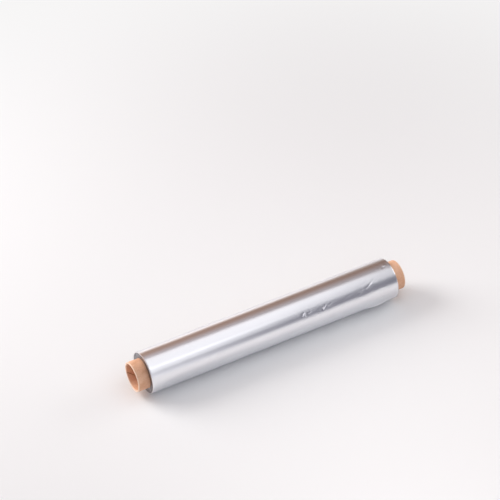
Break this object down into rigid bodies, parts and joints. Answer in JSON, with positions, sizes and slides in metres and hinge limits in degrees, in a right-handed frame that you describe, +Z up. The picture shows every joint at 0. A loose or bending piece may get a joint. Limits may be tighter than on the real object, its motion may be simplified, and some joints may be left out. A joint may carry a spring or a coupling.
{
  "type": "aluminium foil roll",
  "caption": "Roll of aluminium kitchen foil wound on a plain cardboard core that stands out past the foil at both ends, lying on its side.",
  "frame": {"origin": "on the surface that the roll rests on, below the middle of the roll", "axes": "+X along the roll's axis, +Y to the side away from the foil's free edge, +Z up"},
  "size_m": [0.326, 0.0468, 0.0465],
  "materials": {
    "core_board": "matt kraft board, spirally wound, cut square at the ends",
    "foil": "bright rolled foil with fine creases along the outer turns"
  },
  "bodies": {
    "root": {"core": "core_board", "foil": "foil"}
  },
  "joints": []
}
